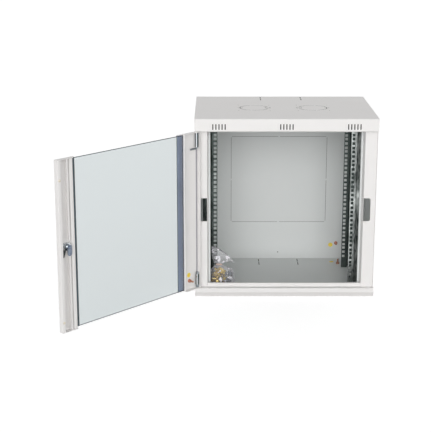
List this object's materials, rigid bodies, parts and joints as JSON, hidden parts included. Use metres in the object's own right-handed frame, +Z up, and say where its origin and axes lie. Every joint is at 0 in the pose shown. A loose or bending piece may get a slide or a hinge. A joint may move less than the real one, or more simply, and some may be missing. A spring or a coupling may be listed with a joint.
{
  "type": "wall mount network cabinet",
  "caption": "Single-section wall mount cabinet for 19 inch network equipment, with a glass door hinged on the left and standing open.",
  "frame": {"origin": "centre of the cabinet's underside, which is flat between the sloped toe and the back", "axes": "+X to the right seen from the front, +Y from the front to the back, +Z up"},
  "size_m": [1, 0.8828, 0.61],
  "materials": {
    "grey_powder_coat": "fine satin powder coat, light grey",
    "zinc_plated_steel": "zinc plated, dull",
    "bright_zinc": "bright zinc",
    "yellow_label": "plain yellow vinyl disc",
    "copper_plated_steel": "copper plated",
    "tempered_glass": "clear tempered safety glass",
    "dark_bonding_tape": "dark foam bonding tape seen through the glass",
    "clear_rubber": "soft translucent buffer",
    "cam_zinc": "zinc plated",
    "key_dark_plastic": "dark plastic clad key",
    "nickel_chrome": "polished nickel chrome",
    "clear_polythene": "thin clear bag of zinc plated hardware"
  },
  "bodies": {
    "cabinet": {"back_panel": "grey_powder_coat", "bottom_cover": "grey_powder_coat", "depth_bar_lower_left": "zinc_plated_steel", "depth_bar_lower_right": "zinc_plated_steel", "depth_bar_upper_left": "zinc_plated_steel", "depth_bar_upper_right": "zinc_plated_steel", "earth_label_back": "yellow_label", "earth_label_floor": "yellow_label", "earth_nut_back": "copper_plated_steel", "earth_nut_floor": "copper_plated_steel", "earth_stud_back": "copper_plated_steel", "earth_stud_floor": "copper_plated_steel", "earth_washer_back": "copper_plated_steel", "earth_washer_floor": "copper_plated_steel", "front_post_left": "grey_powder_coat", "front_post_right": "grey_powder_coat", "header_brace": "zinc_plated_steel", "rail_bolts": "bright_zinc", "rail_front_left": "zinc_plated_steel", "rail_front_right": "zinc_plated_steel", "rail_nuts": "bright_zinc", "rail_rear_left": "zinc_plated_steel", "rail_rear_right": "zinc_plated_steel", "screw_kit_bag": "clear_polythene", "side_panel_left": "grey_powder_coat", "side_panel_right": "grey_powder_coat", "top_cover": "grey_powder_coat"},
    "door": {"door_buffers": "clear_rubber", "door_glass": "tempered_glass", "door_pan_hinge": "grey_powder_coat", "door_pan_lock": "grey_powder_coat", "earth_label_door": "yellow_label", "earth_nut_door": "copper_plated_steel", "earth_stud_door": "copper_plated_steel", "earth_washer_door": "copper_plated_steel", "glass_strip_lock": "grey_powder_coat", "glass_tape_hinge": "dark_bonding_tape", "glass_tape_lock": "dark_bonding_tape", "hinge_barrel_lower": "bright_zinc", "hinge_barrel_upper": "bright_zinc", "hinge_bush_lower": "bright_zinc", "hinge_pin_lower": "bright_zinc", "hinge_spring": "bright_zinc", "hinge_washer": "bright_zinc", "key": "key_dark_plastic", "key_ring": "nickel_chrome", "lock_housing": "nickel_chrome", "lock_nut": "nickel_chrome", "lock_sleeve": "nickel_chrome"},
    "upper_pin": {"hinge_pin_upper": "bright_zinc"},
    "lock_core": {"lock_plug": "nickel_chrome", "lock_cam": "cam_zinc", "lock_cam_screw": "cam_zinc"}
  },
  "joints": [
    {"name": "door_hinge", "type": "hinge", "parent": "cabinet", "child": "door", "pos_m": [-0.2925, -0.2178, 0.301], "axis": [0, 0, 1], "range_deg": [-42, 133]},
    {"name": "hinge_pin_slide", "type": "slide", "parent": "door", "child": "upper_pin", "axis": [0, 0, 1], "range_m": [-0.009, 0], "stiffness_N_per_m": 250, "springref_m": 0.008, "deforming": ["hinge_spring"]},
    {"name": "lock_turn", "type": "hinge", "parent": "door", "child": "lock_core", "pos_m": [-0.6751, -0.62809, 0.301], "axis": [-0.7314, 0.682, 0], "range_deg": [0, 90]}
  ]
}
